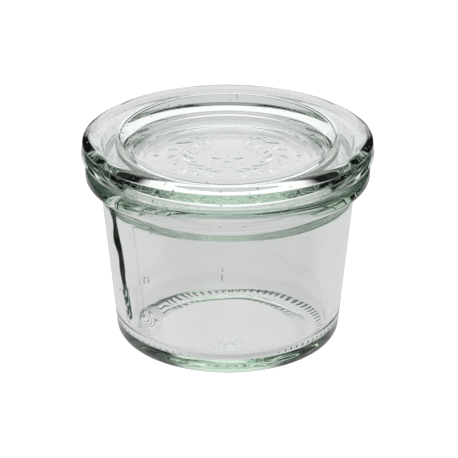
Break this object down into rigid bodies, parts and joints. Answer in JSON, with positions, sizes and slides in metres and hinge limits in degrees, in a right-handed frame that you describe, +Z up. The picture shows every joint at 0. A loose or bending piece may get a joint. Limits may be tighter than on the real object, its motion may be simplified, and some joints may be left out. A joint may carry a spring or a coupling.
{
  "type": "canning jar",
  "caption": "Small empty glass canning jar with a tapered body and a thick rim, closed by a loose glass lid with a raised ring round a sunken centre.",
  "frame": {"origin": "middle of the foot, on the surface it stands on", "axes": "+Z up along the axis of the jar and the lid, from the foot to the lid; -Y is the side the picture was taken from"},
  "size_m": [0.07, 0.07, 0.0513],
  "materials": {
    "jar_glass": "clear polished, faint green tint where thick",
    "lid_glass": "clear polished, faint green tint where thick"
  },
  "bodies": {
    "root": {"jar": "jar_glass", "lid": "lid_glass"}
  },
  "joints": []
}
